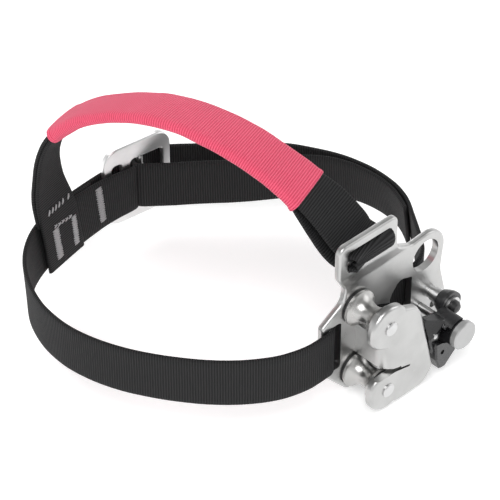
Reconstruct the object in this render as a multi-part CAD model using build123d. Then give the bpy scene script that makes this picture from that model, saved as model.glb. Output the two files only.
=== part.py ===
from build123d import *
from math import cos, radians, sin, tan
import os

# Foot ascender: a steel body with twin rollers and a toothed cam, worn on the boot
# with a heel strap and a strap under the foot.
# Millimetres. X runs across the body plate, Z along the rope, Y from the rope side to the boot.
# The origin is the centre of the carabiner eye, halfway through the plate.

# ---- driving dimensions ----
SHEET = 3.5                 # steel thickness of plate, wall and cheek
FRONT = -SHEET / 2          # rope-side face of the plate
BACK = SHEET / 2            # boot-side face of the plate
CHEEK_FRONT = -22.0         # outer face of the cheek
CHEEK_BACK = CHEEK_FRONT + SHEET
EYE_R = 8.05                # carabiner eye
RIM = 1.2                   # rounding of the plate's edges
CHEEK_RIM = 1.8             # rounding of the cheek's front edge
PAD = 1.2                   # how far the sheet steps forward round the foot strap's slot
PAD_FOOT, PAD_HEAD = 10.6, 17.0           # the slope of that step
PAD_BEND = 10.0             # bend radius at both ends of the slope

WEB = 25.0                  # webbing width
WEB_T = 1.8                 # webbing thickness
LOOP_TOP = -7.9             # top edge of the heel strap
LOOP_MID = LOOP_TOP - WEB / 2

SLOT_X, SLOT_Z = -37.15, 24.7             # centre of the foot strap's slot
SLOT_SIZE = (26.1, 11.3)
HEEL_SLOT = (-58.9, -51.5, -33.1, -7.5)   # left, right, bottom, top

ROLLER_X = -42.2
ROLLER_Z = {"upper": -4.0, "lower": -39.2}
ROLLER_R = 8.5              # flange
WAIST_R = 4.9
BUSH_R = 3.2
WASHER_T = 0.8
END_PLAY = 0.12             # free gap at each end of a roller
PIN_R = 2.5
RUNNING = 0.05              # radial running clearance
RIVET_R = 3.3
RIVET_H = 0.9

WALL_X = (-42.6, -39.1)     # channel wall between the rollers
WALL_Z = (-29.8, -13.4)
BEND_R = 8.0                # outer bend from wall to cheek

CAM_X, CAM_Z = 5.0, -23.8   # cam pivot
HUB_BACK, CAM_BACK, CAM_FRONT = -8.2, -3.2, -14.0
ARM_BACK = -11.0
HUB_R = 6.3
SPRING_POCKET = (4.15, 3.1, -12.4)        # outer and inner radius, and its floor
CAM_REACH = 34.3            # pivot to the lowest tooth
CAM_WASHER = (4.4, 1.1)     # radius, thickness
CAM_GAP = 0.15              # between the cam and its washer
CAP_R = 3.1

KNOB_X, KNOB_Z = -1.8, -28.4
KNOB_R = 6.85
KNOB_FACE = -29.2
KNOB_T = 2.9
KNOB_SKIN = 1.2             # metal left in front of the plunger
SEAL_T = 1.3
BOSS_R = 6.9
LEVER_BACK = CAM_FRONT      # the lever lies on the cam
LEVER_FACE = -20.6
TAIL_FACE = -22.4
PLUNGER_R = 2.0
FLANGE_R = 2.9              # collar the plunger's spring pushes on
FLANGE_T = 0.9
STROKE = 3.5                # pull of the knob
SPRING_SEAT = LEVER_BACK - 0.4 - FLANGE_T - STROKE - 1.2
LEVER_RIVET_R = 1.2
LEVER_RIVETS = [(-12.0, -27.6), (-8.4, -38.0)]
HOLD_OPEN = 70.0            # degrees from closed to held open

BAR_Y = -PAD                # axis of the bar inside the foot strap's loop
BAR_R = 2.0
SPIGOT_R = 1.2
LAYER_GAP = 0.1             # between webbing and what it wraps

BUCKLE_X, BUCKLE_Y = -39.8, 144.6         # buckle centre in plan
BUCKLE_TURN = -7.0          # degrees from +X
BUCKLE_SIZE = (37.0, 43.0)  # along the strap, across it
BUCKLE_RISE = 1.5           # its middle above the webbing's
BUCKLE_T = 3.0
RAIL = 4.5                  # width of the buckle's end rails
MIDDLE_BAR = (-8.6, -3.6)   # its extent along the buckle
LOCK_U, LOCK_R = 2.1, 1.6   # lock bar: place along the buckle, radius
LOCK_SPIGOT = (1.0, 1.6)    # radius, length

BOX_STITCH = (146.3, -24.0, 13.5, 17.5)   # place along the foot strap's plane, centre z, width, height
BUCKLE_TACK = (-64.8, LOOP_MID)           # stitches near the buckle
ANCHOR_FACE, ANCHOR_SLOPE = 142.6, 0.12   # inside face of the anchor loop at x = -78, and its run
THREAD_W, THREAD_T = 3.2, 0.4

os.makedirs("parts", exist_ok=True)


# ---- helpers ----
def save(name, shape):
    export_step(shape, f"parts/{name}.step")
    box = shape.bounding_box()
    print(f"{name:24s} volume {shape.volume:9.1f}  valid {shape.is_valid}  size {box.size}")


def outline(points):
    """Closed outline from (x, z, corner radius)."""
    corners = [(x, z) for x, z, _ in points]
    return make_face(FilletPolyline(*corners, radius=[r for _, _, r in points], close=True))


def slab(face, near, far):
    """A face drawn in X and Z, as a plate between y = near (rope side) and y = far."""
    return extrude(Plane.XZ.offset(-far) * face, amount=far - near)


def rod(x, z, radius, near, far):
    """A cylinder along Y."""
    return slab(Pos(x, z) * Circle(radius), near, far)


def tube(x, z, outer, inner, near, far):
    return rod(x, z, outer, near, far) - rod(x, z, inner, near - 1, far + 1)


def lathe(x, z, profile):
    """Turned piece on a Y axis, from (radius, y) points."""
    return Pos(x, 0, z) * revolve(make_face(Polyline(*profile, close=True)), axis=Axis.Y)


def arc_radii(points):
    """Largest tangent arcs that two neighbouring runs leave room for."""
    radii = []
    for a, b, c in zip(points, points[1:], points[2:]):
        u, v = Vector(*b) - Vector(*a), Vector(*c) - Vector(*b)
        radii.append(0.45 * min(u.length, v.length) / tan(radians(u.get_angle(v)) / 2))
    return radii


def ribbon(points, plane, thickness, width):
    """Flat strap whose centreline lies in a plane, with its width across that plane."""
    path = plane * FilletPolyline(*points, radius=arc_radii(points))
    section = Plane(origin=path @ 0, x_dir=(path % 0).cross(plane.z_dir), z_dir=path % 0)
    return sweep(section * Rectangle(thickness, width), path=path)


def around_cam(x, z, turn):
    """A point turned about the cam pivot, the way the cam opens."""
    dx, dz, a = x - CAM_X, z - CAM_Z, radians(turn)
    return CAM_X + dx * cos(a) - dz * sin(a), CAM_Z + dx * sin(a) + dz * cos(a)


# ---- steel body ----
def plate_outline():
    return outline([
        (-54.9, 34.2, 4.2), (-20.0, 34.2, 3.4), (-19.6, 16.5, 7.0), (-9.0, 10.6, 5.0), (13.5, 12.6, 11.0),
        (10.9, -13.0, 12.0), (15.6, -31.0, 6.0), (10.0, -45.0, 8.0), (-20.0, -50.0, 9.0),
        (-46.3, -50.0, 5.0), (-59.6, -35.2, 2.0), (-62.8, -34.6, 1.5), (-62.8, -5.6, 2.0),
        (-50.6, 1.8, 5.0), (-49.2, 8.5, 5.0), (-54.9, 17.5, 6.0)])


def plate_openings():
    left, right, low, high = HEEL_SLOT
    arch = outline([(-21.5, -26.0, 1.5), (-21.5, -11.5, 7.0), (-16.0, -4.6, 4.0),
                    (-8.0, -7.4, 1.0), (-8.0, -26.0, 3.0)])
    notch = outline([(-32.2, -24.0, 2.0), (-32.2, -9.6, 1.5), (-20.0, -15.2, 0.5), (-20.0, -24.0, 0.5)])
    heel = Pos((left + right) / 2, (low + high) / 2) * RectangleRounded(right - left, high - low, 1.6)
    return Circle(EYE_R) + arch + notch + heel


def body_plate():
    """Sheet that steps forward above a short slope, cut to the plate's outline, with rounded long edges."""
    front = [(FRONT, -60), (FRONT, PAD_FOOT), (FRONT - PAD, PAD_HEAD), (FRONT - PAD, 45)]
    back = [(y + SHEET, z) for y, z in reversed(front)]
    side = make_face(FilletPolyline(*front, *back, radius=[0, PAD_BEND, PAD_BEND, 0] * 2, close=True))
    sheet = extrude(Plane.YZ.offset(-70) * side, amount=100)
    body = sheet & slab(plate_outline(), -10, 10)
    across = body.edges().filter_by(Axis.Y)
    creases = [e for e in body.edges().filter_by(Axis.X) if PAD_FOOT - 2 < e.center().Z < PAD_HEAD + 2]
    return fillet([e for e in body.edges() if e not in across and e not in creases], RIM)


def cheek_outline():
    """Cheek seen from the front: two round ears joined by the long right-hand side."""
    up, low = ROLLER_Z["upper"], ROLLER_Z["lower"]
    side = outline([(-43.0, up + 9.9, 1.0), (-25.6, -1.8, 4.5), (-22.4, -7.0, 6.0), (-13.3, -43.0, 4.5),
                    (-19.5, -50.2, 7.0), (-38.0, low - 10.9, 3.0)])
    ears = Pos(ROLLER_X, up) * Circle(10.9) + Pos(ROLLER_X, low) * Circle(10.6)
    bend_end = WALL_X[0] + BEND_R
    gap = Pos(bend_end - 15, -23) * Rectangle(30, 16.4)
    slit = make_face(Polyline((-60, -29.8), (-38, -29.9), (-28.6, -32.4), (-29.2, -33.3), (-38, -31.2),
                              (-60, -31.2), close=True))
    return side + ears - gap - slit


def channel_wall():
    """Wall between the rollers, bent over into the cheek."""
    out, inn = WALL_X
    section = make_face(FilletPolyline(
        (out, 0), (out, CHEEK_FRONT), (-30.0, CHEEK_FRONT), (-30.0, CHEEK_BACK), (inn, CHEEK_BACK), (inn, 0),
        radius=[0, BEND_R, 0, 0, BEND_R - SHEET, 0], close=True))
    return Pos(0, 0, WALL_Z[0]) * extrude(section, amount=WALL_Z[1] - WALL_Z[0])


def frame():
    back = body_plate()
    back -= slab(plate_openings(), FRONT - 1, BACK + 1)
    slot = Pos(SLOT_X, SLOT_Z) * RectangleRounded(*SLOT_SIZE, 2.0)
    back -= slab(slot, FRONT - PAD - 1, BACK + 1)
    cheek = slab(cheek_outline(), CHEEK_FRONT, CHEEK_BACK)
    rim = [e for e in cheek.edges().group_by(Axis.Y)[0]
           if e.center().X > -27 or not -34.5 < e.center().Z < -14.0]
    cheek = fillet(rim, CHEEK_RIM)
    body = back + cheek + channel_wall()
    for z in ROLLER_Z.values():
        body -= rod(ROLLER_X, z, PIN_R, -30, 10)
    body -= rod(CAM_X, CAM_Z, PIN_R, FRONT - 1, BACK + 1)
    catch_x, catch_z = around_cam(KNOB_X, KNOB_Z, HOLD_OPEN)
    body -= rod(catch_x, catch_z, PLUNGER_R + 0.15, FRONT - 1, BACK + 1)
    for end in (-1, 1):
        hole = Pos(SLOT_X + end * (SLOT_SIZE[0] / 2 + 1.2), BAR_Y, SLOT_Z) * Rot(0, 90, 0)
        body -= hole * Cylinder(SPIGOT_R, 3.0)
    return body


# ---- rollers ----
def roller(z):
    near, far = CHEEK_BACK + WASHER_T + END_PLAY, FRONT - WASHER_T - END_PLAY
    mid, rim = (near + far) / 2, 1.3
    profile = Polyline((BUSH_R, near), (ROLLER_R, near), (ROLLER_R, near + rim))
    waist = ThreePointArc((ROLLER_R, near + rim), (WAIST_R, mid), (ROLLER_R, far - rim))
    rest = Polyline((ROLLER_R, far - rim), (ROLLER_R, far), (BUSH_R, far), (BUSH_R, near))
    return Pos(ROLLER_X, 0, z) * revolve(make_face(profile + waist + rest), axis=Axis.Y)


def roller_bush(z):
    near, far = CHEEK_BACK + WASHER_T + END_PLAY, FRONT - WASHER_T - END_PLAY
    return tube(ROLLER_X, z, BUSH_R, PIN_R + RUNNING, near, far)


def roller_washers(z):
    front = tube(ROLLER_X, z, ROLLER_R - 0.6, PIN_R + 0.1, CHEEK_BACK, CHEEK_BACK + WASHER_T)
    back = tube(ROLLER_X, z, ROLLER_R - 0.6, PIN_R + 0.1, FRONT - WASHER_T, FRONT)
    return Compound([front, back])


def roller_pin(z):
    head = CHEEK_FRONT - RIVET_H
    return lathe(ROLLER_X, z, [(0, BACK), (PIN_R, BACK), (PIN_R, CHEEK_FRONT), (RIVET_R, CHEEK_FRONT),
                               (RIVET_R, head + 0.4), (RIVET_R - 0.5, head), (0, head)])


# ---- cam ----
def cam():
    """Hub on the pin, arm behind the lever and toothed nose. The hub's pocket holds the torsion spring."""
    hub = lathe(CAM_X, CAM_Z, [(PIN_R + RUNNING, HUB_BACK), (4.7, HUB_BACK), (5.6, HUB_BACK - 2.0),
                               (HUB_R, HUB_BACK - 4.2), (HUB_R, CAM_FRONT), (PIN_R + RUNNING, CAM_FRONT)])
    arm = outline([(0.5, -26.6, 1.5), (-13.6, -22.4, 1.5), (-13.0, -43.0, 2.0), (5.5, -30.2, 2.0),
                   (8.0, -24.5, 2.0)])
    arm = slab(arm, CAM_FRONT, ARM_BACK)
    arm -= rod(CAM_X, CAM_Z, HUB_R - 0.4, -30, 10)
    pocket_outer, pocket_inner, floor = SPRING_POCKET
    body = hub - tube(CAM_X, CAM_Z, pocket_outer, pocket_inner, floor, HUB_BACK + 1) + arm + cam_teeth()
    body -= rod(KNOB_X, KNOB_Z, PLUNGER_R + RUNNING, -30, 10)
    for x, z in LEVER_RIVETS:
        body -= rod(x, z, LEVER_RIVET_R, -30, 10)
    return body


def cam_teeth():
    """Toothed nose: a row of square ridges on an arc that grows towards its lower end."""
    count, first, step = 8, 188.0, 4.6
    points = [(-11.0, -26.0)]
    for i in range(count):
        reach = CAM_REACH - 1.4 + 0.16 * i
        for angle, depth in ((first + step * i, 0), (first + step * (i + 0.55), 1.3)):
            a = radians(angle)
            points.append((CAM_X + (reach - depth) * cos(a), CAM_Z + (reach - depth) * sin(a)))
    points.append((-11.0, -44.0))
    nose = make_face(Polyline(*points, close=True))
    return slab(nose, CAM_FRONT, CAM_BACK)


def cam_pin():
    tip = CAM_FRONT - CAM_GAP - CAM_WASHER[1]
    return lathe(CAM_X, CAM_Z, [(0, BACK), (PIN_R, BACK), (PIN_R, tip), (0, tip)])


def cam_washer():
    near = CAM_FRONT - CAM_GAP - CAM_WASHER[1]
    return tube(CAM_X, CAM_Z, CAM_WASHER[0], PIN_R, near, CAM_FRONT - CAM_GAP)


def cam_cap():
    back = CAM_FRONT - CAM_GAP - CAM_WASHER[1]
    return lathe(CAM_X, CAM_Z, [(0, back), (CAP_R, back), (CAP_R, back - 1.4), (CAP_R - 1.0, back - 2.6),
                                (0, back - 3.0)])


def cam_spacer():
    """Stepped collar that holds the cam off the plate and closes the spring's pocket."""
    front = HUB_BACK + CAM_GAP
    return lathe(CAM_X, CAM_Z, [(PIN_R, FRONT), (2.9, FRONT), (2.9, -3.7), (3.4, -3.7), (3.4, -5.8),
                                (3.8, -5.8), (3.8, front), (PIN_R, front)])


def cam_spring():
    outer, inner, floor = SPRING_POCKET
    wire, turns = 0.32, 4
    start, end = HUB_BACK - 0.05 - wire, floor + 0.05 + wire
    coil = Helix(pitch=(start - end) / turns, height=start - end, radius=(outer + inner) / 2)
    body = sweep(Plane(origin=coil @ 0, z_dir=coil % 0) * Circle(wire), path=coil, is_frenet=True)
    return Pos(CAM_X, start, CAM_Z) * Rot(90, 0, 0) * body


# ---- release lever and knob ----
def release_lever():
    body = outline([(-15.2, -19.6, 1.5), (-1.0, -23.6, 1.5), (4.8, -30.0, 2.5), (3.4, -36.0, 2.5),
                    (-4.0, -42.0, 3.0), (-12.6, -38.4, 2.0), (-15.4, -29.0, 3.0)])
    lever = slab(body, LEVER_FACE, LEVER_BACK)
    lever = chamfer(lever.edges().group_by(Axis.Y)[0], 0.7) - lever_facet()
    tail = outline([(-13.2, -31.0, 1.0), (-1.5, -33.0, 1.0), (1.0, -41.4, 1.6), (-6.2, -48.0, 1.3),
                    (-9.6, -47.6, 1.0), (-12.2, -41.0, 1.0)])
    tail = slab(tail, TAIL_FACE, TAIL_FACE + 4.4)
    tail = chamfer(tail.edges().group_by(Axis.Y)[0], 0.8)
    boss = rod(KNOB_X, KNOB_Z, BOSS_R, KNOB_FACE + KNOB_T + SEAL_T, LEVER_BACK)
    lever += tail + boss
    pocket = outline([(-7.6, -23.6, 0.8), (-3.0, -24.6, 0.8), (-5.6, -34.2, 0.8), (-10.6, -31.8, 0.8)])
    lever -= slab(pocket, -30, LEVER_FACE + 3.2)
    lever -= rod(CAM_X, CAM_Z, CAM_WASHER[0] + 0.3, -40, 0)
    lever -= rod(KNOB_X, KNOB_Z, PLUNGER_R + RUNNING, -40, 0)
    lever -= rod(KNOB_X, KNOB_Z, FLANGE_R + 0.2, SPRING_SEAT, 0)
    for x, z in LEVER_RIVETS:
        lever -= rod(x, z, LEVER_RIVET_R, -40, 0)
    return lever


def lever_facet():
    """Everything in front of the slanted facet at the lever's upper left."""
    a, b = Vector(-4.5, LEVER_FACE, -22.0), Vector(-17.0, LEVER_FACE, -30.0)
    c = Vector(-15.2, LEVER_BACK - 2.0, -19.6)
    normal = (b - a).cross(c - a)
    if normal.Y > 0:
        normal = -normal
    return Plane(origin=a, x_dir=b - a, z_dir=normal) * Pos(0, 0, 10) * Box(60, 60, 20)


def lever_rivets():
    pins = [rod(x, z, LEVER_RIVET_R, LEVER_FACE - 0.5, LEVER_BACK + 3.0) for x, z in LEVER_RIVETS]
    return Compound(pins)


def plunger():
    tip, stop, inside = FRONT - CAM_GAP, LEVER_BACK - 0.4, KNOB_FACE + KNOB_SKIN
    return lathe(KNOB_X, KNOB_Z, [(0, tip), (PLUNGER_R, tip), (PLUNGER_R, stop), (FLANGE_R, stop),
                                  (FLANGE_R, stop - FLANGE_T), (PLUNGER_R, stop - FLANGE_T),
                                  (PLUNGER_R, inside), (0, inside)])


def plunger_spring():
    wire, turns, play = 0.28, 4, 0.06
    back = LEVER_BACK - 0.4 - FLANGE_T - play - wire
    length = back - (SPRING_SEAT + play + wire)
    coil = Helix(pitch=length / turns, height=length, radius=(PLUNGER_R + FLANGE_R) / 2 + play)
    body = sweep(Plane(origin=coil @ 0, z_dir=coil % 0) * Circle(wire), path=coil, is_frenet=True)
    return Pos(KNOB_X, back, KNOB_Z) * Rot(90, 0, 0) * body


def knob():
    back = KNOB_FACE + KNOB_T
    body = lathe(KNOB_X, KNOB_Z, [(0, KNOB_FACE), (KNOB_R - 0.5, KNOB_FACE), (KNOB_R, KNOB_FACE + 0.5),
                                  (KNOB_R, back), (0, back)])
    return body - rod(KNOB_X, KNOB_Z, PLUNGER_R, KNOB_FACE + KNOB_SKIN, 0)


def knob_seal():
    near = KNOB_FACE + KNOB_T
    return tube(KNOB_X, KNOB_Z, KNOB_R - 0.7, PLUNGER_R, near, near + SEAL_T - 0.25)


# ---- straps ----
HEEL_ROUTE = [(-67.0, 146.6), (-78.0, 145.6), (-90.0, 143.8), (-104.0, 139.2), (-119.5, 128.6),
              (-131.0, 111.5), (-137.4, 92.0), (-137.2, 72.0), (-130.2, 50.8), (-118.0, 30.5),
              (-103.8, 13.8), (-88.3, 2.4), (-74.0, -2.6), (-61.5, -3.0), (-56.9, -2.4), (-53.6, 2.4),
              (-49.0, 3.0), (-30.0, 3.0), (-2.0, 3.2), (11.0, 7.4), (19.6, 18.5), (28.6, 32.0),
              (33.6, 48.0), (33.6, 65.0), (28.0, 84.5), (15.0, 106.5), (-5.0, 129.0), (-20.0, 144.2),
              (-27.0, 146.9), (-35.4, 147.0)]
TAIL_ROUTE = [(-27.0, 134.2), (-14.0, 120.6), (4.0, 104.6), (18.6, 88.4), (26.6, 72.0),
              (28.6, 58.0), (27.0, 43.0), (23.2, 31.0)]
FOOT_PLANE = Plane(origin=(SLOT_X, BAR_Y, 0), x_dir=(-0.351, 0.9364, 0), z_dir=(0.9364, 0.351, 0))
FOOT_ROUTE = [(9.0, 25.0), (13.0, 27.8), (19.0, 35.4), (28.9, 46.4), (38.2, 53.0), (50.8, 59.6), (65.7, 64.9),
              (80.7, 68.3), (95.3, 68.3), (109.3, 65.4), (125.2, 58.0), (140.0, 45.8), (148.0, 34.3),
              (150.6, 17.2), (149.0, -8.2), (147.3, -33.6)]
SLEEVE = slice(3, -3)       # the part of the foot strap's route inside the sleeve


def heel_strap():
    return ribbon(HEEL_ROUTE, Plane.XY.offset(LOOP_MID), WEB_T, WEB)


def tail_strap():
    """Free end: round the buckle's lock bar and back along the inside of the heel strap."""
    reach = LOCK_R + LAYER_GAP + WEB_T / 2
    turn = [at_buckle_plan(LOCK_U + 5.0, reach), at_buckle_plan(LOCK_U - reach, reach),
            at_buckle_plan(LOCK_U - reach, -reach), at_buckle_plan(LOCK_U + 3.0, -reach)]
    return ribbon(turn + TAIL_ROUTE, Plane.XY.offset(LOOP_MID), WEB_T, WEB)


def anchor_loop():
    """Two layers sewn over the end of the heel strap, looped round the buckle's middle bar."""
    reach = BUCKLE_T / 2 + LAYER_GAP + WEB_T / 2
    turn = MIDDLE_BAR[1] + LAYER_GAP + WEB_T / 2
    route = [(-100.0, 138.6), (-89.5, 141.9), (-78.0, 143.7), (-62.0, 144.6), at_buckle_plan(-16.0, -reach),
             at_buckle_plan(turn, -reach), at_buckle_plan(turn, reach), at_buckle_plan(-16.0, reach),
             (-66.0, 148.6), (-78.0, 147.6), (-90.0, 145.8)]
    return ribbon(route, Plane.XY.offset(LOOP_MID), WEB_T, WEB)


def foot_strap():
    return ribbon(FOOT_ROUTE, FOOT_PLANE, 2 * WEB_T, WEB)


def foot_strap_loop():
    """Turn of the foot strap's webbing round the bar in the slot."""
    reach = BAR_R + LAYER_GAP + WEB_T / 2
    y, z = BAR_Y, SLOT_Z
    route = [(8.6, z + 1.2), (y + 3.5, z + reach), (y - reach, z + reach), (y - reach, z - reach),
             (y + 3.5, z - reach), (8.6, z - 0.8)]
    return ribbon(route, Plane.YZ.offset(SLOT_X), WEB_T, WEB)


def foot_strap_sleeve():
    """Tube of wider webbing over the foot strap."""
    wall, slack = 0.8, 0.4
    inner = (2 * WEB_T + 2 * slack, WEB + 2 * slack)
    outer = (inner[0] + 2 * wall, inner[1] + 2 * wall)
    route = FOOT_ROUTE[SLEEVE]
    return ribbon(route, FOOT_PLANE, *outer) - ribbon(route, FOOT_PLANE, *inner)


def strap_bar():
    at_slot = Pos(SLOT_X, BAR_Y, SLOT_Z) * Rot(0, 90, 0)
    body = Cylinder(BAR_R, SLOT_SIZE[0] - 0.4) + Cylinder(SPIGOT_R, SLOT_SIZE[0] + 4.8)
    return at_slot * body


def thread(face, x, z, length, tilt):
    """One raised bar of sewing thread on a webbing face, given as a plane with x along it and z up."""
    return face * Pos(x, 0, z) * Rot(0, tilt, 0) * Box(length, THREAD_T, THREAD_W)


def stitching():
    """Box stitch through the end of the foot strap and a bar of stitches towards the buckle."""
    place, mid, wide, high = BOX_STITCH
    box = Plane(origin=FOOT_PLANE.from_local_coords((place, 0, 0)), x_dir=FOOT_PLANE.z_dir, z_dir=(0, 0, 1))
    bars = [thread(box, side * wide / 2, mid, high, 90) for side in (-1, 1)]
    bars += [thread(box, 0, mid + side * high / 2, wide, 0) for side in (-1, 1)]
    loop = Plane(origin=(-78, ANCHOR_FACE, 0), x_dir=(1, ANCHOR_SLOPE, 0), z_dir=(0, 0, 1))
    bars.append(thread(loop, BUCKLE_TACK[0] + 78, BUCKLE_TACK[1], 19.0, 90))
    return Compound(bars)


# ---- buckle ----
def at_buckle(shape):
    return Pos(BUCKLE_X, BUCKLE_Y, LOOP_MID) * Rot(0, 0, BUCKLE_TURN) * shape


def at_buckle_plan(u, v):
    """Plan position of a point u along the buckle and v behind its middle."""
    a = radians(BUCKLE_TURN)
    return BUCKLE_X + u * cos(a) - v * sin(a), BUCKLE_Y + u * sin(a) + v * cos(a)


def buckle_frame():
    long, tall = BUCKLE_SIZE
    left, right = -long / 2 + RAIL, long / 2 - RAIL
    rim = Pos(0, BUCKLE_RISE) * RectangleRounded(long, tall, 8.0)
    window = WEB + 3.0
    for start, end in ((left, MIDDLE_BAR[0]), (MIDDLE_BAR[1], right)):
        rim -= Pos((start + end) / 2, 0) * RectangleRounded(end - start, window, 2.0)
    body = extrude(Plane.XZ.offset(-BUCKLE_T / 2) * rim, amount=BUCKLE_T)
    levels = body.edges().group_by(Axis.Y)
    body = fillet(levels[0] + levels[-1], 0.7)
    return at_buckle(body - Pos(LOCK_U, 0, 0) * Cylinder(LOCK_SPIGOT[0], window + 2 * LOCK_SPIGOT[1]))


def buckle_lock_bar():
    window = WEB + 3.0
    body = Cylinder(LOCK_R, window - 0.2) + Cylinder(LOCK_SPIGOT[0], window + 2 * LOCK_SPIGOT[1])
    return at_buckle(Pos(LOCK_U, 0, 0) * body)


PARTS = {
    "frame": frame,
    "cam": cam,
    "cam_pin": cam_pin,
    "cam_washer": cam_washer,
    "cam_cap": cam_cap,
    "cam_spacer": cam_spacer,
    "cam_spring": cam_spring,
    "release_lever": release_lever,
    "lever_rivets": lever_rivets,
    "plunger": plunger,
    "plunger_spring": plunger_spring,
    "knob": knob,
    "knob_seal": knob_seal,
    "strap_bar": strap_bar,
    "heel_strap": heel_strap,
    "tail_strap": tail_strap,
    "anchor_loop": anchor_loop,
    "foot_strap": foot_strap,
    "foot_strap_loop": foot_strap_loop,
    "foot_strap_sleeve": foot_strap_sleeve,
    "stitching": stitching,
    "buckle_frame": buckle_frame,
    "buckle_lock_bar": buckle_lock_bar,
}
for part_name, make in PARTS.items():
    save(part_name, make())
for place, height in ROLLER_Z.items():
    save(f"{place}_roller", roller(height))
    save(f"{place}_roller_bush", roller_bush(height))
    save(f"{place}_roller_washers", roller_washers(height))
    save(f"{place}_roller_pin", roller_pin(height))
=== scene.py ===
import bpy
import math
import random
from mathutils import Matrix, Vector, noise
from mathutils.bvhtree import BVHTree

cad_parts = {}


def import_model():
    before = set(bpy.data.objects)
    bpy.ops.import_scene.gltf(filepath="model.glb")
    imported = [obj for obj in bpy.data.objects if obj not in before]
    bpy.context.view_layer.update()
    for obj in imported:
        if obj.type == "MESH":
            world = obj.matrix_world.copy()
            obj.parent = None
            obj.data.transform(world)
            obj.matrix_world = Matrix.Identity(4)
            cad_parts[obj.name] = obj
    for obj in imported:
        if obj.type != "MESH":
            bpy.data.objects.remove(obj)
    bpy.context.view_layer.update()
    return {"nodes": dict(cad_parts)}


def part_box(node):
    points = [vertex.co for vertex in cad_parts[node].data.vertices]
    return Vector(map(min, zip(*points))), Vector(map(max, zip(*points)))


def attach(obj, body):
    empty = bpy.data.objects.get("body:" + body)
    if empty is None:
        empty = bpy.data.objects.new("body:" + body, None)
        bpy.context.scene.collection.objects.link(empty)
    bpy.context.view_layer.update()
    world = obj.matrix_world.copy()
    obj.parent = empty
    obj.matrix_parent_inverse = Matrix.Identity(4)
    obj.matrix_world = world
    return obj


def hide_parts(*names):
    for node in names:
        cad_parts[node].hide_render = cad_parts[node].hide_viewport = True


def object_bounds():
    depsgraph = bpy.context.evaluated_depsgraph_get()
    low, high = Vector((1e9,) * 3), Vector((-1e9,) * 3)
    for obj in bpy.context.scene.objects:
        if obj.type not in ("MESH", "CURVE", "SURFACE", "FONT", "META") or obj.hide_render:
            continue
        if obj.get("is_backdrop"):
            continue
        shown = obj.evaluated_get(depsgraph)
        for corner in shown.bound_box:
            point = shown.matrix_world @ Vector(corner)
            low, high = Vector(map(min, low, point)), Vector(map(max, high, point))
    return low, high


# Foot ascender: steel body with twin rollers and a toothed cam, heel strap with its
# buckle, and a sleeved strap under the foot. Metres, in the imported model's frame.

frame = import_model()
nodes = frame["nodes"]
BODY = "ascender_body"
MM = 0.001
TAU = 2 * math.pi

# ---- webbing dimensions ----
WEB = 25 * MM
WEB_T = 1.8 * MM
RIB = 1.15 * MM             # pitch of the crosswise ribs
SLEEVE_RIB = 1.05 * MM
ROWS_PER_RIB = 4
heel_low, heel_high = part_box("heel_strap")
Z_MID = (heel_low.z + heel_high.z) / 2 / MM


# ---- materials ----
class Shader:
    """A node material under construction."""

    def __init__(self, name):
        self.mat = bpy.data.materials.new(name)
        self.mat.use_nodes = True
        self.tree = self.mat.node_tree
        self.bsdf = self.tree.nodes["Principled BSDF"]

    def node(self, kind, **settings):
        made = self.tree.nodes.new(kind)
        for key, value in settings.items():
            setattr(made, key, value)
        return made

    def link(self, output, target):
        self.tree.links.new(output, target)

    def set(self, **sockets):
        for key, value in sockets.items():
            self.bsdf.inputs[key.replace("_", " ")].default_value = value

    def ramp(self, source, stops):
        made = self.node("ShaderNodeValToRGB")
        elements = made.color_ramp.elements
        for i, (place, colour) in enumerate(stops):
            item = elements[i] if i < 2 else elements.new(place)
            item.position = place
            item.color = (*colour, 1)
        self.link(source, made.inputs["Fac"])
        return made.outputs["Color"]

    def span(self, source, low, high):
        made = self.node("ShaderNodeMapRange")
        made.inputs["To Min"].default_value = low
        made.inputs["To Max"].default_value = high
        self.link(source, made.inputs["Value"])
        return made.outputs["Result"]

    def math(self, operation, a, b):
        made = self.node("ShaderNodeMath", operation=operation)
        for socket, value in zip(made.inputs, (a, b)):
            if isinstance(value, (int, float)):
                socket.default_value = value
            else:
                self.link(value, socket)
        return made.outputs["Value"]

    def bump(self, height, strength, distance, normal=None):
        made = self.node("ShaderNodeBump")
        made.inputs["Strength"].default_value = strength
        made.inputs["Distance"].default_value = distance
        self.link(height, made.inputs["Height"])
        if normal:
            self.link(normal, made.inputs["Normal"])
        return made.outputs["Normal"]


def noise_of(s, scale, detail, vector, rough=0.5):
    """Noise of so many cells to the metre."""
    made = s.node("ShaderNodeTexNoise")
    made.inputs["Scale"].default_value = scale
    made.inputs["Detail"].default_value = detail
    made.inputs["Roughness"].default_value = rough
    s.link(vector, made.inputs["Vector"])
    return made.outputs["Fac"]


def object_space(s):
    return s.node("ShaderNodeTexCoord").outputs["Object"]


def shaded(colour, factor):
    return tuple(c * factor for c in colour)


BLOTCH_SCALE, SCRATCH_SCALE = 90, 700           # cells to the metre
SCRATCH_STRETCH = (1, 1, 0.06)
SCRATCH_LEVEL = 0.72                            # noise above this is a scratch
RING_PITCH = 0.22 * MM                          # lathe rings
YARN_PITCH = 0.62 * MM                          # lengthwise yarns of the webbing
WAVES_PER_UNIT = 20                             # radians to the metre of a Wave Texture of scale 1


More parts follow.
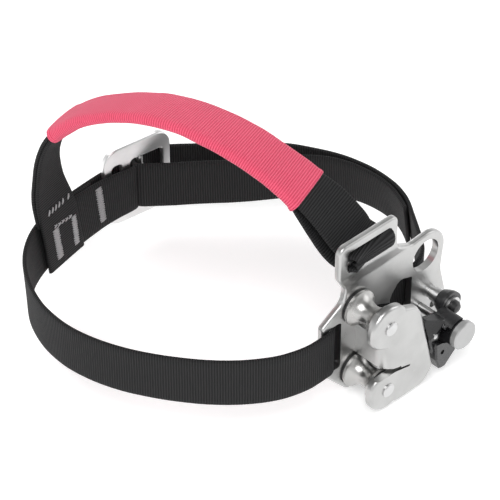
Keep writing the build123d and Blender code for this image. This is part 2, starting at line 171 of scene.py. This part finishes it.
def steel(name, colour, rough, grain_scale=2600, grain_depth=0.05, blotch=0.06):
    """Bare steel: fine tumbled grain, soft blotches and faint scratches."""
    s = Shader(name)
    s.set(Metallic=1.0)
    coords = object_space(s)
    large = noise_of(s, BLOTCH_SCALE, 4.0, coords)
    fine = noise_of(s, grain_scale, 2.0, coords, 0.6)
    tones = [(0.3, shaded(colour, 1 - blotch)), (0.7, shaded(colour, 1 + blotch))]
    s.link(s.ramp(large, tones), s.bsdf.inputs["Base Color"])
    mixed = s.math("ADD", s.math("MULTIPLY", large, 0.6), s.math("MULTIPLY", fine, 0.4))
    s.link(s.span(mixed, rough - 0.08, rough + 0.08), s.bsdf.inputs["Roughness"])
    mapping = s.node("ShaderNodeMapping")
    mapping.inputs["Scale"].default_value = SCRATCH_STRETCH
    s.link(coords, mapping.inputs["Vector"])
    scratch = s.node("ShaderNodeTexNoise")
    scratch.inputs["Scale"].default_value = SCRATCH_SCALE
    scratch.inputs["Detail"].default_value = 1.0
    scratch.inputs["Distortion"].default_value = 1.5
    s.link(mapping.outputs["Vector"], scratch.inputs["Vector"])
    lines = s.math("GREATER_THAN", scratch.outputs["Fac"], SCRATCH_LEVEL)
    grains = s.bump(fine, grain_depth, 0.05 * MM)
    s.link(s.bump(lines, 0.12, 0.02 * MM, grains), s.bsdf.inputs["Normal"])
    return s.mat


def turned_steel(name, colour, rough):
    """Lathe-turned metal: faint rings round the piece's Y axis."""
    s = Shader(name)
    s.set(Metallic=1.0)
    coords = object_space(s)
    wave = s.node("ShaderNodeTexWave", wave_type="BANDS", bands_direction="Y", wave_profile="SIN")
    wave.inputs["Scale"].default_value = TAU / (WAVES_PER_UNIT * RING_PITCH)
    wave.inputs["Distortion"].default_value = 0.8
    wave.inputs["Detail"].default_value = 1.0
    s.link(coords, wave.inputs["Vector"])
    large = noise_of(s, 160, 3.0, coords)
    s.link(s.ramp(large, [(0.3, shaded(colour, 0.9)), (0.75, colour)]), s.bsdf.inputs["Base Color"])
    s.link(s.span(large, rough - 0.05, rough + 0.07), s.bsdf.inputs["Roughness"])
    s.link(s.bump(wave.outputs["Fac"], 0.10, 0.02 * MM), s.bsdf.inputs["Normal"])
    return s.mat


def coated(name, colour, rough, speck=0.5, coat=0.0):
    """Painted, moulded or rubber surface with a fine orange-peel skin."""
    s = Shader(name)
    s.set(Coat_Weight=coat, Coat_Roughness=0.12)
    coords = object_space(s)
    large = noise_of(s, 220, 4.0, coords)
    fine = noise_of(s, 2400, 2.0, coords)
    light = tuple(c * 1.5 + 0.004 for c in colour)
    s.link(s.ramp(large, [(0.35, colour), (0.8, light)]), s.bsdf.inputs["Base Color"])
    s.link(s.span(large, rough - 0.06, rough + 0.08), s.bsdf.inputs["Roughness"])
    s.link(s.bump(fine, 0.12 * speck, 0.08 * MM), s.bsdf.inputs["Normal"])
    return s.mat


def woven(name, colour, lit, depth, sheen, rib=RIB, rough=0.62, sheen_tint=(1, 1, 1), shine=0.5):
    """Ribbed webbing with painted shade in its grooves and a painted highlight on its crests. UV: x runs
    along the strap and y across it, both in metres.
    """
    s = Shader(name)
    s.set(Sheen_Weight=sheen, Sheen_Roughness=0.45, Sheen_Tint=(*sheen_tint, 1),
          Specular_IOR_Level=shine)
    uv = s.node("ShaderNodeUVMap", uv_map="weave").outputs["UV"]
    split = s.node("ShaderNodeSeparateXYZ")
    s.link(uv, split.inputs["Vector"])
    along, across = split.outputs["X"], split.outputs["Y"]
    ribs = s.math("SINE", s.math("MULTIPLY", along, TAU / rib), 0)
    warp = s.math("SINE", s.math("MULTIPLY", across, TAU / YARN_PITCH), 0)
    # Each warp yarn crosses over every other rib, half a rib out of step with its neighbour.
    every_other = s.math("SINE", s.math("MULTIPLY", along, TAU / (2 * rib)), 0)
    alternate = s.math("MULTIPLY", every_other, warp)
    height = s.math("ADD", s.math("MULTIPLY", ribs, 0.36), s.math("MULTIPLY", alternate, 0.16))
    height = s.math("ADD", height, 0.5)
    coords = object_space(s)
    fibres = noise_of(s, 5200, 3.0, coords, 0.7)
    worn = noise_of(s, 130, 4.0, coords)
    # Colour: rib and yarn height turn the grooves to the dark colour and the crests to the lit one (painted
    # shade and painted highlight); fibre and wear noise add random tone.
    groove_shade_and_wear = s.math("ADD", s.math("MULTIPLY", height, 0.9), s.math("MULTIPLY", fibres, 0.25))
    groove_shade_and_wear = s.math("ADD", groove_shade_and_wear, s.math("MULTIPLY", worn, 0.20))
    s.link(s.ramp(groove_shade_and_wear, [(0.30, colour), (0.95, lit)]), s.bsdf.inputs["Base Color"])
    s.link(s.span(worn, rough - 0.07, rough + 0.10), s.bsdf.inputs["Roughness"])
    yarn = s.bump(height, depth, 0.35 * MM)
    s.link(s.bump(fibres, 0.25, 0.12 * MM, yarn), s.bsdf.inputs["Normal"])
    return s.mat


def thread_material(name, colour, lit):
    """Spun sewing thread, mottled by its fibres."""
    s = Shader(name)
    s.set(Sheen_Weight=0.4, Roughness=0.6)
    fine = noise_of(s, 3600, 3.0, object_space(s), 0.7)
    s.link(s.ramp(fine, [(0.3, colour), (0.75, lit)]), s.bsdf.inputs["Base Color"])
    s.link(s.bump(fine, 0.4, 0.1 * MM), s.bsdf.inputs["Normal"])
    return s.mat


PLATE_STEEL = steel("plate_steel", (0.50, 0.50, 0.495), 0.30, blotch=0.07)
ROLLER_STEEL = turned_steel("roller_steel", (0.50, 0.495, 0.485), 0.28)
PIN_STEEL = steel("pin_steel", (0.62, 0.62, 0.62), 0.30, grain_depth=0.03)
CAM_STEEL = coated("cam_steel", (0.018, 0.018, 0.019), 0.34, speck=1.2, coat=0.15)
SPRING_STEEL = steel("spring_steel", (0.45, 0.45, 0.46), 0.3, grain_depth=0.02)
BUCKLE_STEEL = steel("buckle_steel", (0.80, 0.80, 0.80), 0.34)
KNOB_STEEL = steel("knob_steel", (0.47, 0.47, 0.47), 0.42, grain_scale=3400, grain_depth=0.12)
BRONZE = turned_steel("bush_bronze", (0.55, 0.40, 0.22), 0.35)
# Near-black roller washers: their colour is the painted shadow of the gap between each roller flange and
# the cheek.
WASHER_SHADOW_BLACK = coated("washer_dark", (0.016, 0.016, 0.017), 0.4)
LEVER_BLACK = coated("lever_black", (0.010, 0.010, 0.011), 0.27, coat=0.3)
CAP_BLACK = coated("cap_black", (0.012, 0.012, 0.013), 0.35)
SEAL_RUBBER = coated("seal_rubber", (0.008, 0.008, 0.008), 0.5)
# Each webbing's two colours are its painted groove shade and its painted lit crest tone.
BLACK_WEB = woven("webbing_black", (0.0015, 0.0015, 0.0017), (0.022, 0.022, 0.023), depth=0.8,
                  sheen=0.01, shine=0.22)
PINK_WEB = woven("sleeve_pink", (0.66, 0.030, 0.085), (0.90, 0.115, 0.21), depth=0.9, sheen=0.12,
                 rib=SLEEVE_RIB, rough=0.55, sheen_tint=(1.0, 0.62, 0.74))
GREY_THREAD = thread_material("thread_grey", (0.16, 0.16, 0.165), (0.46, 0.46, 0.47))

FINISH = {
    "frame": PLATE_STEEL, "upper_roller": ROLLER_STEEL, "lower_roller": ROLLER_STEEL,
    "upper_roller_bush": BRONZE, "lower_roller_bush": BRONZE,
    "upper_roller_washers": WASHER_SHADOW_BLACK, "lower_roller_washers": WASHER_SHADOW_BLACK,
    "upper_roller_pin": PIN_STEEL, "lower_roller_pin": PIN_STEEL, "cam": CAM_STEEL,
    "cam_pin": PIN_STEEL, "cam_spacer": PIN_STEEL, "cam_washer": PIN_STEEL,
    "cam_cap": CAP_BLACK, "cam_spring": SPRING_STEEL,
    "release_lever": LEVER_BLACK, "lever_rivets": PIN_STEEL, "plunger": PIN_STEEL,
    "plunger_spring": SPRING_STEEL, "knob": KNOB_STEEL, "knob_seal": SEAL_RUBBER,
    "strap_bar": PIN_STEEL, "buckle_frame": BUCKLE_STEEL, "buckle_lock_bar": PIN_STEEL,
}
for node_name, finish in FINISH.items():
    mesh = nodes[node_name].data
    mesh.materials.clear()
    mesh.materials.append(finish)


# ---- straps ----
UP = Vector((0, 0, 1))
LOOP_CENTRE = (-45.0, 70.0)                     # millimetres, as are the five lines below
SAG, SAG_FROM, SAG_RUN = 1.3, 85.0, 50.0        # how much lower the loop hangs at the buckle
SLOT_X, BAR_Y = -37.15, -1.2                    # bar in the upper slot
LAYER = 0.97                                    # from a fold's middle to each layer's centre
GATHER_FROM, GATHER_RUN = 105.0, 25.0           # along the foot strap's plan line
GATHER_FOOT, GATHER_RISE = -8.0, 36.0           # up the leg
GATHER = 0.30                                   # share of the width lost in the sleeve's mouth
ARCH = Vector((-0.351, 0.9364, 0))              # plan direction of the foot strap
SPLINE_STEPS = 40


def fine_line(points):
    """Quadratic B-spline through a route of vectors, as a dense line with its running length."""
    ends = [points[0]] + [(a + b) / 2 for a, b in zip(points[1:-1], points[2:-1])] + [points[-1]]
    fine = []
    for start, middle, end in zip(ends, points[1:-1], ends[1:]):
        for i in range(SPLINE_STEPS):
            t = i / SPLINE_STEPS
            fine.append(start * (1 - t) ** 2 + middle * 2 * t * (1 - t) + end * t * t)
    fine.append(points[-1].copy())
    marks = [0.0]
    for a, b in zip(fine, fine[1:]):
        marks.append(marks[-1] + (b - a).length)
    return fine, marks


def resample(fine, marks, places):
    """Points of a dense line at the given lengths."""
    out, k = [], 0
    for want in places:
        while k < len(marks) - 2 and marks[k + 1] < want:
            k += 1
        t = (want - marks[k]) / max(marks[k + 1] - marks[k], 1e-12)
        out.append(fine[k].lerp(fine[k + 1], min(max(t, 0.0), 1.0)))
    return out


class Row:
    """One cross-section along a strap: centre, width direction, outward normal and row number."""

    def __init__(self, centre, width, normal, number):
        self.centre, self.width, self.normal, self.number = centre, width, normal, number


def rows_along(stations, rib=RIB):
    """Rows along stations of (x, y, z, width direction) in millimetres."""
    points = [Vector(p[:3]) * MM for p in stations]
    widths = [Vector(p[3]).normalized() for p in stations]
    fine, marks = fine_line(points)
    fine_widths, _ = fine_line(widths)
    count = ROWS_PER_RIB * round(marks[-1] / rib)
    places = [marks[-1] * i / count for i in range(count + 1)]
    centres, spans = resample(fine, marks, places), resample(fine_widths, marks, places)
    out = []
    for i, centre in enumerate(centres):
        tangent = (centres[min(i + 1, count)] - centres[max(i - 1, 0)]).normalized()
        width = spans[i] - tangent * spans[i].dot(tangent)
        width.normalize()
        out.append(Row(centre, width, tangent.cross(width).normalized(), i))
    return out


def web_section(width):
    """Closed section of flat webbing as (across, out) points, with full rounded selvedges."""
    half, edge, count = width / 2, WEB_T / 2, 9
    top = []
    for i in range(count):
        a = -1 + 2 * i / (count - 1)
        top.append((a * (half - edge), edge * (1 - 0.10 * (1 - a * a))))
    right = [(half - edge * (1 - math.cos(a)), edge * math.sin(a)) for a in (0.9, 0.0, -0.9)]
    bottom = [(x, -y) for x, y in reversed(top)]
    left = [(-x, -y) for x, y in right]
    return top + right + bottom + left


def skin(name, rows, sections, material, rib=RIB, depth=0.07 * MM, selvedge=0.16 * MM,
         wobble=0.10 * MM, caps=True):
    """Mesh over rows, each with its section of (across, out) points, with raised ribs and toothed edges."""
    verts, faces, uvs = [], [], []
    n = len(sections[0])
    section = sections[len(sections) // 2]
    around = [0.0]
    for (x0, y0), (x1, y1) in zip(section, section[1:] + section[:1]):
        around.append(around[-1] + math.hypot(x1 - x0, y1 - y0))
    half = max(x for x, _ in section)
    edge_from = 0.93                            # share of the half width where the selvedge begins
    for row, points in zip(rows, sections):
        pulse = math.cos(row.number * TAU / ROWS_PER_RIB)
        for x, y in points:
            side = min(max((abs(x) / half - edge_from) / (1 - edge_from), 0.0), 1.0)
            rise = math.copysign(depth * pulse, y) * (1 - side)
            spread = math.copysign(selvedge * pulse, x) * side
            lift = wobble * noise.noise(Vector((row.number * 0.03, x * 45, len(name))))
            verts.append(row.centre + row.width * (x + spread) + row.normal * (y + rise + lift))
    for i in range(len(rows) - 1):
        for j in range(n):
            k = (j + 1) % n
            faces.append((i * n + j, i * n + k, (i + 1) * n + k, (i + 1) * n + j))
            s0, s1 = (rows[m].number * rib / ROWS_PER_RIB for m in (i, i + 1))
            uvs += [(s0, around[j]), (s0, around[j + 1]), (s1, around[j + 1]), (s1, around[j])]
    if caps:
        last = (len(rows) - 1) * n
        for ring in (list(range(n))[::-1], list(range(last, last + n))):
            faces.append(ring)
            uvs += [(0.0, section[v % n][0]) for v in ring]
    mesh = bpy.data.meshes.new(name)
    mesh.from_pydata([v[:] for v in verts], [], faces)
    layer = mesh.uv_layers.new(name="weave")
    for item, uv in zip(layer.data, uvs):
        item.uv = uv
    mesh.materials.append(material)
    mesh.shade_smooth()
    made = bpy.data.objects.new(name, mesh)
    bpy.context.scene.collection.objects.link(made)
    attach(made, BODY)
    return made


def webbing(name, stations, replaced, gather=None):
    """Flat webbing; gather gives the share of its width that a row loses from its right edge."""
    rows, sections = [], []
    for row in rows_along(stations):
        lost = WEB * (gather(row.centre) if gather else 0.0)
        rows.append(Row(row.centre - row.width * (lost / 2), row.width, row.normal, row.number))
        sections.append(web_section(WEB - lost))
    made = skin(name, rows, sections, BLACK_WEB)
    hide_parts(*replaced)
    return made


def leaning(direction, degrees):
    """Upright width vector whose top leans outwards, away from the loop's middle."""
    a = math.radians(degrees)
    return Vector((direction[0], direction[1], 0)).normalized() * math.sin(a) + UP * math.cos(a)


def smooth(t):
    """Rises smoothly from 0 to 1 as t does."""
    t = min(max(t, 0.0), 1.0)
    return t * t * (3 - 2 * t)


def upright(points):
    """Stations of the heel webbing from (x, y, lean)."""
    cx, cy = LOOP_CENTRE
    return [(x, y, Z_MID - SAG * smooth((y - SAG_FROM) / SAG_RUN), leaning((x - cx, y - cy), lean))
            for x, y, lean in points]


# Heel strap, from the junction round the heel, behind the plate and back to the buckle.
HEEL = [
    (-66.0, 145.2, 7), (-78.0, 143.5, 10), (-91.0, 141.6, 12), (-104.0, 138.3, 9), (-119.4, 128.3, 3),
    (-131.2, 111.5, 0), (-137.6, 92.0, 0), (-137.4, 72.0, 0), (-130.4, 50.8, 0), (-118.0, 30.5, 0),
    (-103.8, 13.8, 0), (-88.3, 2.2, 0), (-74.0, -2.8, 0), (-62.5, -3.0, 0), (-56.6, -2.6, 0),
    (-53.6, 2.6, 0), (-49.0, 3.0, 0), (-30.0, 3.0, 0), (-4.0, 3.2, 0), (8.6, 6.6, 0), (17.0, 16.8, -2),
    (25.4, 28.0, -6), (33.4, 38.2, -10), (37.8, 51.0, -12), (38.1, 65.2, -12), (34.6, 80.8, -10),
    (26.9, 95.6, -6), (18.2, 108.5, -1), (5.0, 119.6, 3), (-8.0, 132.0, 3), (-20.0, 142.6, 3),
    (-27.0, 146.9, 2), (-35.4, 147.0, 1),
]
webbing("heel_webbing", upright(HEEL), ["heel_strap"])

# Free end: round the lock bar and back along the inside of the heel strap.
TAIL = [
    (-33.0, 146.8, 0), (-38.6, 147.4, 0), (-40.9, 145.0, 0), (-40.8, 142.0, 0), (-36.6, 138.4, 0),
    (-29.6, 132.4, 0), (-18.4, 123.6, 0), (-4.1, 110.7, 0), (10.2, 100.2, -2), (23.9, 90.6, -6),
    (32.6, 76.8, -10), (35.3, 64.2, -12), (35.1, 51.6, -12), (31.6, 41.2, -10), (26.8, 33.6, -7),
]
webbing("tail_webbing", upright(TAIL), ["tail_strap"])

# Anchor loop: both layers at the junction, folded round the buckle's middle bar.
ANCHOR = [
    (-100.6, 137.6, 11), (-91.0, 139.7, 12), (-78.0, 141.6, 10), (-64.0, 143.2, 7), (-54.0, 142.9, 3),
    (-46.6, 142.0, 1), (-41.9, 141.9, 0), (-41.3, 145.0, 0), (-41.6, 148.2, 0), (-46.6, 148.2, 1),
    (-56.0, 148.2, 3), (-66.0, 147.0, 6), (-78.0, 145.2, 8), (-91.0, 143.3, 10), (-96.5, 142.2, 10),
]
ANCHOR_WEBBING = webbing("anchor_webbing", upright(ANCHOR), ["anchor_loop"])


# ---- foot strap ----
def arch_point(s, z):
    """Point s along the foot strap's plan line, at height z."""
    return Vector((SLOT_X, BAR_Y, 0)) + ARCH * s + UP * z


def across(degrees):
    """Level width direction at an angle from +X."""
    a = math.radians(degrees)
    return Vector((math.cos(a), math.sin(a), 0))


# Middle line of the arch between its two layers: along the plan line, height, turn of the width
# and how far its far edge dips.
ARCH_LINE = [
    (30.0, 47.5, 12.5, 8.2), (38.2, 52.5, 14.0, 10.2), (50.8, 58.7, 17.0, 9.8), (65.7, 63.5, 20.0, 9.3),
    (80.7, 66.2, 20.5, 11.6), (95.3, 65.9, 20.5, 12.4), (109.3, 63.0, 20.5, 12.8),
    (125.2, 56.6, 20.5, 12.5), (138.6, 47.6, 20.5, 9.4), (147.2, 38.4, 20.5, 5.4),
    (152.2, 26.5, 20.5, 2.0), (154.2, 13.0, 20.0, 0.0),
]


def offset_line(line, off):
    """The line moved sideways in its own plane, outwards for a positive distance."""
    out = []
    for i, (s, z, *turns) in enumerate(line):
        before, after = line[max(i - 1, 0)], line[min(i + 1, len(line) - 1)]
        ds, dz = after[0] - before[0], after[1] - before[1]
        length = math.hypot(ds, dz)
        out.append((s - dz / length * off, z + ds / length * off, *turns))
    return out


def level_stations(line, shift=0.0):
    """Stations from (along the plan line, height, turn, dip of the far edge)."""
    out = []
    for s, z, turn, *dip in line:
        level = across(turn)
        a = math.radians(dip[0] if dip else 0.0)
        out.append((*(arch_point(s, z) + Vector((shift, 0, 0))), level * math.cos(a) - UP * math.sin(a)))
    return out


def foot_stations():
    """One length of webbing: up the inside of the leg, over the arch, round the bar and back outside."""
    inner_leg = [(146.9, -34.6, 12.0), (148.4, -20.0, 12.5), (150.4, -8.0, 14.0), (152.4, 2.0, 17.0)]
    outer_leg = [(154.6, 3.0, 17.0), (152.9, -5.0, 14.0), (151.8, -10.5, 13.0)]
    low_run = [(25.0, 41.7, 8.0), (18.9, 34.1, 4.0), (13.1, 26.4, 2.0), (7.4, 21.6, 0.0), (1.2, 21.0, 0.0)]
    bend = [(-3.4, 21.5, 0.0), (-3.4, 27.9, 0.0)]
    high_run = [(2.6, 28.2, 0.0), (6.6, 29.3, 1.0), (10.8, 33.8, 3.0), (18.6, 41.6, 8.0)]
    arch = offset_line(ARCH_LINE, -LAYER)[::-1]
    leg_shift = -1.2                            # the leg stands to the left of the plan line
    inner = level_stations(inner_leg, leg_shift) + level_stations(arch)
    outer = level_stations(offset_line(ARCH_LINE, LAYER)) + level_stations(outer_leg, leg_shift)
    return inner + level_stations(low_run) + level_stations(bend) + level_stations(high_run) + outer


def gather_at_mouth(point):
    """The leg is drawn narrower where it goes into the sleeve's far mouth."""
    reach = (point / MM - arch_point(0, 0)).dot(ARCH)
    rise = smooth((point.z / MM - GATHER_FOOT) / GATHER_RISE)
    return GATHER * smooth((reach - GATHER_FROM) / GATHER_RUN) * rise


FOOT_WEBBING = webbing("foot_webbing", foot_stations(), ["foot_strap", "foot_strap_loop"],
                       gather_at_mouth)


# ---- sleeve ----
SLEEVE_HALF, SLEEVE_THICK, SLEEVE_WALL = 14.2 * MM, 2.95 * MM, 0.75 * MM     # half width, half depth
HEM, HEM_ROWS = 0.28 * MM, 7
SWELL_ROWS = 110                                # over which the far end fills out


def tube_section(half, thick):
    """Closed section of a flattened tube, fuller in the middle than at its edges."""
    count, flat, corner = 13, 0.86, thick * 0.8
    top = []
    for i in range(count):
        a = -1 + 2 * i / (count - 1)
        top.append((a * (half - corner), thick * (flat + (1 - flat) * (1 - a * a))))
    right = [(half - corner * (1 - math.cos(a)), flat * thick * math.sin(a))
             for a in (1.0, 0.5, 0.0, -0.5, -1.0)]
    return top + right + [(x, -y) for x, y in reversed(top)] + [(-x, -y) for x, y in right]


def sleeve():
    """Tube of wider webbing over the arch, turned in at both ends."""
    near, far = [(27.8, 45.4, 12.0, 8.0)], [(136.2, 49.6, 20.5, 10.0), (143.8, 42.4, 20.5, 6.0)]
    rows = rows_along(level_stations(near + ARCH_LINE[:-4] + far), SLEEVE_RIB)
    last = len(rows) - 1
    turned_in = (12, 8, 4, 1)                   # rows from the end that line the mouth
    out_rows, sections = [], []

    def add(row, inset, fat=0.0):
        """The far end is a little fuller, round the gathered leg."""
        puff = smooth((row.number - last + SWELL_ROWS + 10) / SWELL_ROWS)
        out_rows.append(row)
        sections.append(tube_section(SLEEVE_HALF - inset + fat - 0.2 * MM * puff,
                                     SLEEVE_THICK - inset + fat + 0.9 * MM * puff))

    for i in turned_in:
        add(rows[i], SLEEVE_WALL)
    add(rows[0], SLEEVE_WALL / 2)
    for i, row in enumerate(rows):
        from_end = min(i, last - i)
        hem = HEM * min(1.0, max(0.0, 1 - (from_end - HEM_ROWS) / 2))
        roll = {0: 0.45 * MM, 1: 0.12 * MM}.get(from_end, 0.0)
        add(row, roll, hem + 0.25 * MM * noise.noise(Vector((i * 0.02, 3.0, 1.0))))
    add(rows[last], SLEEVE_WALL / 2)
    for i in turned_in[::-1]:
        add(rows[last - i], SLEEVE_WALL)
    made = skin("foot_sleeve", out_rows, sections, PINK_WEB, SLEEVE_RIB,
                depth=0.13 * MM, selvedge=0.20 * MM, wobble=0.22 * MM, caps=False)
    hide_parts("foot_strap_sleeve")


sleeve()


# ---- sewing threads ----
class Sewing:
    """Raised thread strokes collected into one mesh."""

    def __init__(self):
        self.verts, self.faces = [], []
        self.cloth = None

    def onto(self, made):
        """Strokes from here on are laid on this webbing's surface."""
        mesh = made.data
        self.cloth = BVHTree.FromPolygons([v.co for v in mesh.vertices],
                                          [p.vertices for p in mesh.polygons])

    def laid(self, point, out):
        """The nearest place on the cloth, seen from 8 mm outside."""
        reach = 8 * MM
        hit = self.cloth.ray_cast(point + out * reach, -out, 2 * reach)[0]
        return hit if hit else point

    def stroke(self, face, start, end, radius=0.34 * MM, arc=0.16 * MM):
        """A stroke between two (across, up) points in millimetres on a webbing face."""
        origin, across_dir, up, out = face
        a, b = (self.laid(origin + (across_dir * p[0] + up * p[1]) * MM, out) for p in (start, end))
        tangent = (b - a).normalized()
        side = tangent.cross(out).normalized()
        base, steps, ring = len(self.verts), 6, 7
        for i in range(steps + 1):
            t = i / steps
            swell = math.sin(math.pi * (0.12 + 0.76 * t))
            centre = a.lerp(b, t) + out * (arc * swell)
            for j in range(ring):
                turn = TAU * j / ring
                spoke = side * math.cos(turn) + out * math.sin(turn)
                self.verts.append(centre + spoke * radius * (0.45 + 0.55 * swell))
        for i in range(steps):
            for j in range(ring):
                k = (j + 1) % ring
                this, following = base + i * ring, base + (i + 1) * ring
                self.faces.append((this + j, this + k, following + k, following + j))
        self.faces.append([base + j for j in range(ring)][::-1])
        self.faces.append([base + steps * ring + j for j in range(ring)])

    def zigzag(self, face, start, end, width, seed):
        """Dense to-and-fro strokes along a line of (across, up) points."""
        pitch = 0.60
        rng = random.Random(seed)
        run = Vector((end[0] - start[0], end[1] - start[1]))
        length = run.length
        run.normalize()
        side = Vector((-run.y, run.x))
        count = round(length / pitch)
        for i in range(count):
            along = Vector(start) + run * (length * (i + 0.5) / count)
            reach = width / 2 * rng.uniform(0.88, 1.08)
            shift = rng.uniform(-0.12, 0.12)
            slant = run * (0.3 * pitch * (1 if i % 2 else -1))
            self.stroke(face, along + side * (reach + shift) + slant,
                        along - side * (reach - shift) - slant)

    def finish(self, name, material, slot):
        mesh = bpy.data.meshes.new(name)
        mesh.from_pydata([v[:] for v in self.verts], [], self.faces)
        mesh.materials.append(material)
        mesh.shade_smooth()
        made = bpy.data.objects.new(name, mesh)
        bpy.context.scene.collection.objects.link(made)
        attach(made, BODY)
        return made


def webbing_face(at, turn, lean):
    """A face to sew on: a point in millimetres, its level direction and how far its top leans back."""
    level = across(turn)
    back = Vector((-level.y, level.x, 0))
    a = math.radians(lean)
    up = back * math.sin(a) + UP * math.cos(a)
    return Vector(at) * MM, level, up, level.cross(up)


def sew():
    """Box stitch, two rows of loose tacks and a bar tack, at the junction."""
    fine_thread, tack_thread = 0.26 * MM, 0.42 * MM
    threads = Sewing()
    threads.onto(FOOT_WEBBING)
    leg = webbing_face((-91.0, 137.2, -20.0), 12.0, 14.0)
    threads.zigzag(leg, (-3.85, 5.4), (-3.85, -10.6), 4.1, seed=2)
    threads.zigzag(leg, (9.2, 4.4), (8.3, -10.6), 3.3, seed=3)
    for x, rise in ((-3.4, 6.5), (-0.8, 6.0), (1.8, 5.9), (4.4, 5.4), (7.0, 5.2)):
        threads.stroke(leg, (x - 1.0, rise - 0.5), (x + 1.1, rise + 0.6))
        threads.stroke(leg, (x - 0.7, rise + 0.9), (x + 1.2, rise - 0.2), fine_thread)
    for x in (-6.0, -3.4, -1.0, 1.6, 4.4, 8.6):
        threads.stroke(leg, (x - 0.6, 14.0), (x + 0.9, 16.4), tack_thread, 0.3 * MM)
    threads.onto(ANCHOR_WEBBING)
    loop = webbing_face((-64.0, 142.7, -20.6), 5.0, 12.0)
    threads.zigzag(loop, (0.2, 8.9), (0.4, -9.5), 3.7, seed=4)
    made = threads.finish("stitch_threads", GREY_THREAD, "thread_grey")
    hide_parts("stitching")


sew()

# ---- floor, lights and camera ----
CAMERA_AT = Vector((-0.58101, -0.50698, 0.64265))
CAMERA_AZIMUTH, CAMERA_ELEVATION = math.radians(-43.3), math.radians(39.86)
SENSOR, LENS = 36.0, 165.6                      # millimetres
FLOOR_HALF, FLOOR_GAP = 3.0, 1.0 * MM


def camera():
    data = bpy.data.cameras.new("camera")
    data.sensor_width, data.lens = SENSOR, LENS
    data.clip_start, data.clip_end = 0.05, 20.0
    made = bpy.data.objects.new("camera", data)
    a, e = CAMERA_AZIMUTH, CAMERA_ELEVATION
    back = Vector((math.sin(a) * math.cos(e), -math.cos(a) * math.cos(e), math.sin(e)))
    made.location = CAMERA_AT
    made.rotation_mode = "QUATERNION"
    made.rotation_quaternion = (-back).to_track_quat("-Z", "Y")
    bpy.context.scene.collection.objects.link(made)
    bpy.context.scene.camera = made


def area_light(name, at, towards, size, power):
    data = bpy.data.lights.new(name, "AREA")
    data.shape, data.size, data.size_y = "RECTANGLE", size[0], size[1]
    data.energy = power
    made = bpy.data.objects.new(name, data)
    made.location = at
    made.rotation_mode = "QUATERNION"
    made.rotation_quaternion = (Vector(towards) - Vector(at)).to_track_quat("-Z", "Y")
    bpy.context.scene.collection.objects.link(made)


def floor(level):
    """Pale floor that glows a little, so that shadows on it stay faint."""
    mesh = bpy.data.meshes.new("floor")
    corners = [(x * FLOOR_HALF, y * FLOOR_HALF, level) for x, y in ((-1, -1), (1, -1), (1, 1), (-1, 1))]
    mesh.from_pydata(corners, [], [(0, 1, 2, 3)])
    s = Shader("floor_white")
    s.set(Base_Color=(0.95, 0.95, 0.95, 1), Roughness=0.9, Specular_IOR_Level=0.1,
          Emission_Color=(1, 1, 1, 1), Emission_Strength=0.34)
    mesh.materials.append(s.mat)
    made = bpy.data.objects.new("floor", mesh)
    bpy.context.scene.collection.objects.link(made)
    made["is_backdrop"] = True


def world():
    """Studio dome: pale round the horizon, dimmer high up, where the lights stand out."""
    made = bpy.data.worlds.new("studio")
    bpy.context.scene.world = made
    made.use_nodes = True
    tree = made.node_tree
    coords = tree.nodes.new("ShaderNodeTexCoord")
    split = tree.nodes.new("ShaderNodeSeparateXYZ")
    tree.links.new(coords.outputs["Generated"], split.inputs["Vector"])
    ramp = tree.nodes.new("ShaderNodeValToRGB")
    stops = ((0.0, 0.95), (0.30, 0.92), (0.55, 0.38), (1.0, 0.30))
    for i, (place, level) in enumerate(stops):
        item = ramp.color_ramp.elements[i] if i < 2 else ramp.color_ramp.elements.new(place)
        item.position = place
        item.color = (level, level, level, 1)
    tree.links.new(split.outputs["Z"], ramp.inputs["Fac"])
    tree.links.new(ramp.outputs["Color"], tree.nodes["Background"].inputs["Color"])


bpy.context.scene.view_settings.view_transform = "Standard"
camera()
world()
floor(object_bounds()[0].z - FLOOR_GAP)
area_light("key", (-0.9, -0.5, 1.4), (-0.03, 0.06, 0), (1.3, 1.3), 19)
area_light("fill", (1.2, -0.6, 0.9), (0, 0.03, 0), (0.9, 1.2), 5)
area_light("back", (0.2, 1.5, 1.1), (0, 0.05, 0), (1.8, 0.7), 10)
